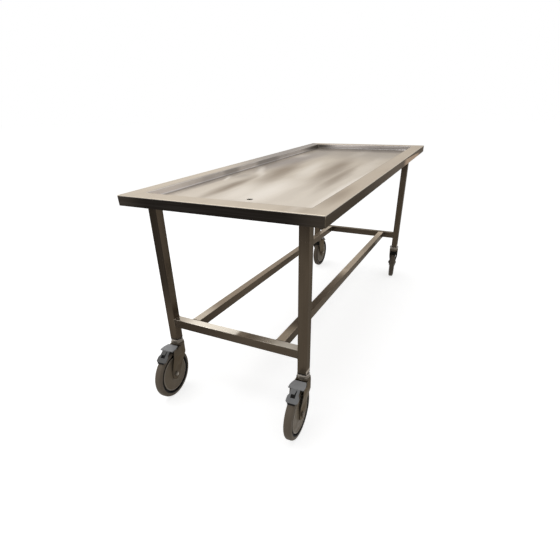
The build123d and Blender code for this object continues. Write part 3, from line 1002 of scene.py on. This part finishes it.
# Right pedals, and a shaded copy with painted shade for the left ones
PEDAL_PLASTIC = PedalFinish(
    "brake_pedal", body=(0.355, 0.358, 0.363), pale=(0.42, 0.423, 0.428), slope=(0.160, 0.161, 0.162))
SHADED_PEDAL_PLASTIC = PedalFinish(
    "shaded_brake_pedal", body=(0.305, 0.307, 0.311), pale=(0.375, 0.377, 0.381),
    slope=(0.060, 0.057, 0.052))
# Wheel rims paler than the discs: a painted highlight
WHEEL_RIM = MouldedFinish(
    "wheel_rim", body=(0.28, 0.237, 0.186), pale=(0.34, 0.296, 0.24), gloss=0.38, rubbed=0.5, specular=0.25)
# Near-black moulding in the fork's throat, standing in for the shade there
THROAT_SHADE_PLASTIC = MouldedFinish(
    "throat_shade_plastic", body=(0.005, 0.0048, 0.0038), pale=(0.014, 0.013, 0.011), gloss=0.6, specular=0.08)
SHOE_RUBBER = MouldedFinish(
    "shoe_rubber", body=(0.010, 0.0095, 0.009), pale=(0.03, 0.028, 0.026), gloss=0.7, specular=0.15)
PLUG_PLASTIC = MouldedFinish(
    "plug_plastic", body=(0.026, 0.023, 0.020), pale=(0.05, 0.045, 0.040), gloss=0.5, specular=0.1)


def as_piece(name: str, mesh: Mesh, finish: Finish, body: str) -> None:
    """Make a finished bmesh a piece that rides on a body.

    Args:
        name: Name of the piece.
        mesh: Its shape, in the part's frame.
        finish: Its finish.
        body: Body that it rides on.
    """
    bmesh.ops.remove_doubles(mesh, verts=mesh.verts, dist=1e-6)
    bmesh.ops.recalc_face_normals(mesh, faces=mesh.faces)
    for face in mesh.faces:
        face.smooth = True
    data = bpy.data.meshes.new(name)
    mesh.to_mesh(data)
    mesh.free()
    piece = bpy.data.objects.new(name, data)
    bpy.context.scene.collection.objects.link(piece)
    finish.put_on(piece)
    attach(piece, body)
    LOG.info("%s: %d faces on %s", name, len(data.polygons), body)


def join(mesh: Mesh, part: Mesh) -> None:
    """Add one shape to another.

    Args:
        mesh: Mesh that takes it in.
        part: The shape, which is used up.
    """
    data = bpy.data.meshes.new("part")
    part.to_mesh(data)
    part.free()
    mesh.from_mesh(data)
    bpy.data.meshes.remove(data)


def edges_of(items: list) -> list[Edge]:
    """Edges among the elements that a mesh operator gives back."""
    return [item for item in items if isinstance(item, Edge)]


def dress_node(node: str, finish: Finish) -> None:
    """Give a CAD node its finish."""
    finish.put_on(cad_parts[node])
    LOG.info("%s: %s", node, finish.name)


@dataclass
class Tray:
    """Tray sheet with what is welded under it and its corner seams."""

    finish: TrayFinish
    bend_radius: float = 0.0025
    seam_radius: float = 0.0012
    seam_sides: int = 10
    seam_sink: float = 0.0009
    seam_top: float = -0.0035
    seam_bottom: float = -0.0362

    def build(self) -> None:
        """Dress the sheet and add the ground weld seam at each corner of the skirt."""
        dress_node("tray_pan", self.finish)
        for node in ("drain_spigot", "floor_ribs", "leg_pads"):
            dress_node(node, LEG_TUBE)
        seams = bmesh.new()
        for corner in Corner:
            self._seam(seams, corner)
        as_piece("skirt_corner_seams", seams, WELD_METAL, TROLLEY)

    def _seam(self, mesh: Mesh, corner: Corner) -> None:
        """Add one upright seam.

        Args:
            mesh: Mesh to add it to.
            corner: Corner of the skirt.
        """
        sign_x, sign_y = corner.signs
        reach = (self.bend_radius - self.seam_sink) * math.sqrt(0.5)
        x = sign_x * (self.finish.half_length - self.bend_radius + reach)
        y = sign_y * (self.finish.half_width - self.bend_radius + reach)
        made = bmesh.ops.create_cone(
            mesh, cap_ends=True, segments=self.seam_sides, radius1=self.seam_radius,
            radius2=self.seam_radius, depth=self.seam_top - self.seam_bottom)
        middle = Matrix.Translation((x, y, (self.seam_top + self.seam_bottom) / 2))
        bmesh.ops.transform(mesh, matrix=self.place() @ middle, verts=made["verts"])

    def place(self) -> Matrix:
        """Matrix from tray coordinates to the part's frame."""
        fall = Matrix.Rotation(-math.radians(self.finish.fall_deg), 4, "Y")
        return Matrix.Translation((0.0, 0.0, self.finish.rim_height)) @ fall


@dataclass
class TubeFrame:
    """Legs, crossbars and stretchers with the weld beads at their joints."""

    tube_side: float = 0.038
    tube_corner: float = 0.003
    bar_height: float = 0.3385
    stretcher_y: float = 0.200
    bead_radius: float = 0.0017
    bead_sides: int = 6
    bead_merge: float = 1e-5
    ripples: int = 10
    ripple_share: float = 0.78
    corner_steps: int = 3

    def build(self) -> None:
        """Dress the tubes and plugs and add the weld beads."""
        for corner in Corner:
            _, sign_y = corner.signs
            # The left legs take the shaded copy, with painted shade
            dress_node(f"leg_{corner.label}", SHADED_LEG_TUBE if sign_y > 0 else LEG_TUBE)
        dress_node("crossbar_foot", CROSS_TUBE)
        dress_node("crossbar_head", SHADED_HEAD_TUBE)
        dress_node("stretcher_left", LONG_TUBE)
        dress_node("stretcher_right", RIGHT_LONG_TUBE)
        dress_node("leg_plugs", PLUG_PLASTIC)
        self._welds()

    def _welds(self) -> None:
        """Add the beads where crossbars meet legs and where stretchers meet crossbars."""
        bars = bmesh.new()
        stretchers = bmesh.new()
        half = self.tube_side / 2
        for corner in Corner:
            x, y = corner.leg
            sign_x, sign_y = corner.signs
            self._bead(bars, (x, y - sign_y * half, self.bar_height), "X")
            self._bead(stretchers, (x - sign_x * half, sign_y * self.stretcher_y, self.bar_height), "Y")
        as_piece("crossbar_welds", bars, WELD_METAL, TROLLEY)
        as_piece("stretcher_welds", stretchers, WELD_METAL, TROLLEY)

    def _bead(self, mesh: Mesh, middle: Point, turn_axis: str) -> None:
        """Add one rippled bead round a tube's square section.

        Args:
            mesh: Mesh to add it to.
            middle: Middle of the section.
            turn_axis: Axis about which a flat section is turned to stand across the tube.
        """
        bead = bmesh.new()
        half = self.tube_side / 2
        run = self.tube_side - 2 * self.tube_corner
        made = bmesh.ops.create_circle(bead, segments=self.bead_sides, radius=self.bead_radius)
        bmesh.ops.rotate(bead, verts=made["verts"], matrix=Matrix.Rotation(QUARTER_TURN, 3, "X"))
        bmesh.ops.translate(bead, verts=made["verts"], vec=(half, -run / 2, 0.0))
        edges = list(bead.edges)
        for side in range(4):
            turn = Matrix.Rotation(QUARTER_TURN * side, 3, "Z")
            for ripple in range(self.ripples):
                edges = self._ripple(bead, edges, turn @ Vector((0.0, run / self.ripples, 0.0)), ripple)
            centre = turn @ Vector((half - self.tube_corner, run / 2, 0.0))
            spun = bmesh.ops.spin(bead, geom=edges, cent=centre, axis=(0.0, 0.0, 1.0),
                                  angle=QUARTER_TURN, steps=self.corner_steps)
            edges = edges_of(spun["geom_last"])
        bmesh.ops.remove_doubles(bead, verts=bead.verts, dist=self.bead_merge)
        place = Matrix.Translation(middle) @ Matrix.Rotation(QUARTER_TURN, 4, turn_axis)
        bmesh.ops.transform(bead, matrix=place, verts=bead.verts)
        join(mesh, bead)

    def _ripple(self, bead: Mesh, edges: list[Edge], step: Vector, index: int) -> list[Edge]:
        """Draw the bead's open end on by one ripple, in turn thinner and thicker.

        Args:
            bead: Mesh of the bead.
            edges: Edges of its open end.
            step: Way of the ripple.
            index: Number of the ripple on this side.

        Returns:
            Edges of the new open end.
        """
        made = bmesh.ops.extrude_edge_only(bead, edges=edges)
        verts = [item for item in made["geom"] if isinstance(item, bmesh.types.BMVert)]
        bmesh.ops.translate(bead, verts=verts, vec=step)
        factor = 1.0
        if index % 2:
            factor = 1.0 / self.ripple_share
        elif index < self.ripples - 1:
            factor = self.ripple_share
        centre = sum((vert.co for vert in verts), Vector()) / len(verts)
        bmesh.ops.scale(bead, verts=verts, vec=(factor,) * 3, space=Matrix.Translation(-centre))
        return [edge for edge in edges_of(made["geom"]) if all(vert in verts for vert in edge.verts)]


@dataclass
class Castor:
    """One braked castor: its CAD pieces' finishes and its trim."""

    corner: Corner
    trail: float = 0.069
    axle_height: float = 0.1075
    lathe_steps: int = 72
    # Washers on the axle
    fork_half: float = 0.0225
    washer_radius: float = 0.0125
    washer_bore: float = 0.0052
    washer_thickness: float = 0.0012
    washer_bevel: float = 0.00036
    # Rib on the tyre's sidewall
    tyre_half: float = 0.016
    rib_radius: float = 0.0925
    rib_half: float = 0.0012
    rib_rise: float = 0.0005
    # Wheel disc with its raised rim, and the groove between disc and tyre with its painted shade ring
    disc_radius: float = 0.0805
    disc_half: float = 0.0135
    rim_inside: float = 0.0738
    rim_crest: float = 0.0153
    rim_edge: float = 0.0030
    rim_sink: float = 0.0003
    rim_foot: float = 0.0115
    seat_radius: float = 0.0855
    tyre_bevel: float = 0.002
    tyre_dirt: float = 0.005
    disc_tone: Colour = (0.202, 0.162, 0.114)
    disc_pale: Colour = (0.22, 0.184, 0.142)
    # Tyre tones: the head tyres a little darker with painted shade
    foot_tyre: Colour = (0.162, 0.132, 0.100)
    head_tyre: Colour = (0.128, 0.104, 0.079)
    tyre_pale: Colour = (0.215, 0.184, 0.148)
    # Pedal tread, with a black pad behind its window and a black rubber strip at its foot, both standing in
    # for the shade there
    pedal_front: float = 0.084
    pedal_top: float = 0.2335
    pedal_plate: float = 0.004
    tread_slope_deg: float = 34.5
    tread_length: float = 0.0575
    pad_start: float = 0.002
    pad_end: float = 0.040
    pad_width: float = 0.030
    pad_depth: float = 0.009
    pad_end_depth: float = 0.0013
    pad_sink: float = 0.0003
    pad_rounding: float = 0.0004
    edge_sink: float = 0.001
    edge_reach: float = 0.0055
    edge_drop: float = 0.0012
    edge_depth: float = 0.0022
    # Near-black moulding in the fork's throat and plates that line its cheeks, standing in for the shade
    # there
    liner_back: float = -0.012
    liner_front: float = 0.012
    liner_top: float = 0.2187
    liner_knee: float = 0.2065
    liner_foot: float = 0.163
    liner_half: float = 0.0254
    liner_inside: float = 0.0186
    liner_rounding: float = 0.0008
    plate_front: float = 0.030
    plate_foot: float = 0.154
    rear_slope: float = 0.356
    cheek_bend: float = 0.1915
    cheek_slope: float = 0.13
    wheel_room: float = 0.110

    def build(self) -> None:
        """Dress the CAD pieces and add the castor's small mouldings and washers."""
        _, sign_y = self.corner.signs
        # The left pedals take the shaded copy of the pedal finish, with painted shade
        finishes = {
            "swivel_cap": SWIVEL_METAL, "fork": CASTOR_PLATE, "axle": BRIGHT_BOLT, "axle_nut": AXLE_NUT,
            "wheel_centre": self.wheel_plastic(), "tyre": self.tyre_rubber(), "wheel_bearings": BRIGHT_BOLT,
            "pedal": SHADED_PEDAL_PLASTIC if sign_y > 0 else PEDAL_PLASTIC,
            "pedal_pin": CASTOR_PLATE, "brake_shoe": SHOE_RUBBER,
        }
        for part, finish in finishes.items():
            dress_node(f"{part}_{self.corner.label}", finish)
        self._washers()
        self._tyre_ribs()
        self._wheel_rims()
        self._pedal_pad()
        self._fork_liner()

    def wheel_plastic(self) -> WheelFinish:
        """Finish of the wheel centre, with a painted shade ring in the groove beside the tyre."""
        return WheelFinish(
            f"wheel_plastic_{self.corner.label}", body=self.disc_tone, pale=self.disc_pale, gloss=0.45,
            rubbed=0.25, specular=0.08, axle=tuple(self.axle_place().translation),
            swing=self.corner.swing, dirt_from=self.disc_radius, dirt_to=self.seat_radius)

    def tyre_rubber(self) -> WheelFinish:
        """Finish of the tyre, with a painted shade ring on the bevel beside the groove.

        Returns:
            The finish, a little darker at the head end with painted shade.
        """
        sign_x, _ = self.corner.signs
        return WheelFinish(
            f"tyre_rubber_{self.corner.label}", body=self.head_tyre if sign_x > 0 else self.foot_tyre,
            pale=self.tyre_pale, gloss=0.6, rubbed=0.4, skin=520.0, relief=0.25, specular=0.12,
            axle=tuple(self.axle_place().translation), swing=self.corner.swing,
            dirt_from=self.seat_radius - self.tyre_bevel, dirt_to=self.seat_radius + self.tyre_dirt)

    def axle_place(self) -> Matrix:
        """Matrix from lathe coordinates, Z along the axle, to the part's frame."""
        axle = Matrix.Translation((self.trail, 0.0, self.axle_height))
        return self.swing_place() @ axle @ Matrix.Rotation(-QUARTER_TURN, 4, "X")

    def swing_place(self) -> Matrix:
        """Matrix from the castor's own frame, X along the trail, to the part's frame."""
        return Matrix.Translation((*self.corner.leg, 0.0)) @ Matrix.Rotation(self.corner.swing, 4, "Z")

    def _put(self, name: str, mesh: Mesh, place: Matrix, finish: Finish, body: str) -> None:
        """Place a shape and make it a piece on one of this castor's bodies."""
        bmesh.ops.transform(mesh, matrix=place, verts=mesh.verts)
        as_piece(f"{name}_{self.corner.label}", mesh, finish, f"{body}_{self.corner.label}")

    def _ring_pair(self, profile: list[Span]) -> Mesh:
        """Turn a ring about the axle on each side of the wheel.

        Args:
            profile: Closed outline of a ring, as radius and distance from the wheel's middle.

        Returns:
            Mesh of both rings, in lathe coordinates.
        """
        mesh = bmesh.new()
        for side in (-1, 1):
            verts = [mesh.verts.new((radius, 0.0, side * station)) for radius, station in profile]
            edges = [mesh.edges.new((verts[i - 1], verts[i])) for i in range(len(verts))]
            bmesh.ops.spin(mesh, geom=verts + edges, cent=(0.0, 0.0, 0.0), axis=(0.0, 0.0, 1.0),
                           angle=2 * math.pi, steps=self.lathe_steps, use_merge=True)
        return mesh

    def _washers(self) -> None:
        """Add a washer under the axle bolt's head and one under its nut."""
        low = self.fork_half
        high = low + self.washer_thickness
        rings = self._ring_pair([
            (self.washer_bore, low), (self.washer_radius, low),
            (self.washer_radius, high - self.washer_bevel),
            (self.washer_radius - self.washer_bevel, high), (self.washer_bore, high)])
        self._put("axle_washers", rings, self.axle_place(), CASTOR_PLATE, "swivel")

    def _tyre_ribs(self) -> None:
        """Add the moulded rib on each sidewall of the tyre."""
        root = self.tyre_half - self.rib_rise
        crest = self.tyre_half + self.rib_rise
        rings = self._ring_pair([
            (self.rib_radius - self.rib_half, root), (self.rib_radius + self.rib_half, root),
            (self.rib_radius + self.rib_half / 2, crest), (self.rib_radius - self.rib_half / 2, crest)])
        self._put("tyre_ribs", rings, self.axle_place(), self.tyre_rubber(), "wheel")

    def _wheel_rims(self) -> None:
        """Add the raised moulded rim round each side disc of the wheel, paler than the disc as a painted
        highlight.
        """
        rings = self._ring_pair([
            (self.rim_inside, self.disc_half - self.rim_sink),
            (self.rim_inside + self.rim_edge / 2, self.rim_crest),
            (self.disc_radius - self.rim_edge, self.rim_crest),
            (self.disc_radius - self.rim_sink, self.rim_foot)])
        self._put("wheel_rims", rings, self.axle_place(), WHEEL_RIM, "wheel")

    def _pedal_pad(self) -> None:
        """Add the black rubber behind the pedal's window, thinner at the foot, and a black rubber strip at
        the tread's foot, both standing in for the shade there.
        """
        mesh = bmesh.new()
        half = self.pad_width / 2
        top = self.pad_sink - self.pedal_plate
        taper = (Vector((self.pad_end, 0.0, top - self.pad_end_depth)),
                 Vector((self.pad_depth - self.pad_end_depth, 0.0, self.pad_start - self.pad_end)))
        self._cut_block(mesh, (self.pad_start, -half, top - self.pad_depth), (self.pad_end, half, top),
                        [taper], self.pad_rounding)
        edge_low = (self.tread_length - self.edge_sink, -half, -self.edge_drop - self.edge_depth)
        edge_high = (self.tread_length + self.edge_reach, half, -self.edge_drop)
        self._cut_block(mesh, edge_low, edge_high, [], self.pad_rounding)
        tread = Matrix.Translation((self.pedal_front, 0.0, self.pedal_top))
        tread @= Matrix.Rotation(math.radians(self.tread_slope_deg), 4, "Y")
        self._put("pedal_pad", mesh, self.swing_place() @ tread, SHOE_RUBBER, "brake")

    def _fork_liner(self) -> None:
        """Add the black moulding that fills the fork's throat and lines its cheeks beside the tyre, its
        near-black tone standing in for the shade there.
        """
        mesh = bmesh.new()
        rear = (Vector((self.liner_back, 0.0, self.liner_knee)), Vector((-1.0, 0.0, -self.rear_slope)))
        cheeks = [(Vector((0.0, side * self.liner_half, self.cheek_bend)),
                   Vector((0.0, side, -self.cheek_slope))) for side in (-1, 1)]
        axle = Vector((self.trail, 0.0, self.axle_height))
        away = (rear[0] - axle).normalized()
        arch = (axle + self.wheel_room * away, -away)
        self._cut_block(mesh, (self.liner_back, -self.liner_half, self.liner_foot),
                        (self.liner_front, self.liner_half, self.liner_top), [rear, arch, *cheeks],
                        self.liner_rounding)
        for side in (-1, 1):
            near, far = sorted((side * self.liner_inside, side * self.liner_half))
            self._cut_block(mesh, (self.liner_back, near, self.plate_foot),
                            (self.plate_front, far, self.liner_knee), [rear, *cheeks], self.liner_rounding)
        self._put("fork_liner", mesh, self.swing_place(), THROAT_SHADE_PLASTIC, "swivel")

    @staticmethod
    def _cut_block(mesh: Mesh, low: Point, high: Point, cuts: list[tuple[Vector, Vector]],
                   rounding: float) -> None:
        """Add a block with some of its sides cut off, its edges eased.

        Args:
            mesh: Mesh to add it to.
            low: Lowest corner of the block.
            high: Highest corner of the block.
            cuts: Point and outward normal of each cutting plane.
            rounding: Width of the eased edges.
        """
        block = bmesh.new()
        size = Vector(high) - Vector(low)
        verts = bmesh.ops.create_cube(block, size=1.0)["verts"]
        bmesh.ops.scale(block, verts=verts, vec=size)
        bmesh.ops.translate(block, verts=verts, vec=Vector(low) + size / 2)
        for point, normal in cuts:
            parts = [*block.verts, *block.edges, *block.faces]
            cut = bmesh.ops.bisect_plane(
                block, geom=parts, plane_co=point, plane_no=normal, clear_outer=True)
            edges = edges_of(cut["geom_cut"])
            if edges:
                bmesh.ops.edgeloop_fill(block, edges=edges)
        bmesh.ops.bevel(block, geom=list(block.edges), offset=rounding, affect="EDGES", segments=2,
                        profile=0.5, material=-1)
        join(mesh, block)


@dataclass
class Studio:
    """Pale floor, soft light and the camera."""

    floor_radius: float = 60.0
    floor_sides: int = 96
    floor_colour: Colour = (0.60, 0.60, 0.60)
    floor_fill: float = 0.74
    white: Colour = (1.0, 1.0, 1.0)
    world_light: float = 0.45
    lamp_power: float = 55.0
    lamp_size: float = 3.4
    lamp_place: Point = (-0.6, 0.9, 3.4)
    eye: Point = (-1.96453, -0.76009, 1.12504)
    heading_deg: float = 25.855
    dip_deg: float = 28.391
    roll_deg: float = -0.543
    lens: float = 24.318
    sensor: float = 36.0
    shift: Span = (-0.0078, 0.0704)

    def build(self) -> None:
        """Set the colour management and add floor, light and camera."""
        bpy.context.scene.view_settings.view_transform = "Standard"
        self._floor()
        self._world()
        self._lamp()
        self._camera()

    @staticmethod
    def _seen(graph: Graph) -> Socket:
        """Tell what is looked at from plain light.

        Args:
            graph: Graph of a floor or world.

        Returns:
            Socket that is 1 for the camera, a reflection or clear glass, and 0 for plain light.
        """
        rays = graph.add("ShaderNodeLightPath").outputs
        seen = graph.math("MAXIMUM", rays["Is Camera Ray"], rays["Is Glossy Ray"])
        return graph.math("MAXIMUM", seen, rays["Is Transmission Ray"])

    def _floor(self) -> None:
        """Add the floor, lifted to white where it isn't in shadow."""
        mesh = bmesh.new()
        bmesh.ops.create_circle(mesh, cap_ends=True, segments=self.floor_sides, radius=self.floor_radius)
        data = bpy.data.meshes.new("studio_floor")
        mesh.to_mesh(data)
        mesh.free()
        floor = bpy.data.objects.new("studio_floor", data)
        bpy.context.scene.collection.objects.link(floor)
        made = bpy.data.materials.new("studio_floor")
        made.use_nodes = True
        graph = Graph(made.node_tree)
        graph.fill(made.node_tree.nodes["Principled BSDF"], {
            "Base Color": self.floor_colour, "Roughness": 1.0, "Specular IOR Level": 0.0,
            "Emission Color": self.white,
            "Emission Strength": graph.times(self._seen(graph), self.floor_fill)})
        data.materials.append(made)

    def _world(self) -> None:
        """Light the scene evenly, with a white background."""
        world = bpy.data.worlds.new("studio")
        bpy.context.scene.world = world
        world.use_nodes = True
        graph = Graph(world.node_tree)
        strength = graph.ease(self._seen(graph), self.world_light, 1.0)
        graph.fill(world.node_tree.nodes["Background"], {"Color": self.white, "Strength": strength})

    def _lamp(self) -> None:
        """Add the soft overhead lamp."""
        light = bpy.data.lights.new("overhead_softbox", "AREA")
        light.energy = self.lamp_power
        light.size = self.lamp_size
        lamp = bpy.data.objects.new("overhead_softbox", light)
        lamp.location = self.lamp_place
        bpy.context.scene.collection.objects.link(lamp)

    def _camera(self) -> None:
        """Add the camera at the photograph's angle."""
        data = bpy.data.cameras.new("camera")
        data.sensor_width = self.sensor
        data.lens = self.lens
        data.shift_x, data.shift_y = self.shift
        data.clip_end = 2 * self.floor_radius
        camera = bpy.data.objects.new("camera", data)
        heading = Matrix.Rotation(math.radians(self.heading_deg) - QUARTER_TURN, 4, "Z")
        dip = Matrix.Rotation(QUARTER_TURN - math.radians(self.dip_deg), 4, "X")
        roll = Matrix.Rotation(math.radians(self.roll_deg), 4, "Z")
        camera.matrix_world = Matrix.Translation(self.eye) @ heading @ dip @ roll
        bpy.context.scene.collection.objects.link(camera)
        bpy.context.scene.camera = camera


def main() -> None:
    """Build every sub-assembly, then the studio."""
    logging.basicConfig(level=logging.INFO, format="%(name)s: %(message)s")
    Tray(TRAY_SHEET).build()
    TubeFrame().build()
    for node in ("castor_stems", "swivel_bearings"):
        dress_node(node, BRIGHT_BOLT)
    for corner in Corner:
        Castor(corner).build()
    Studio().build()


if __name__ == "__main__":
    main()
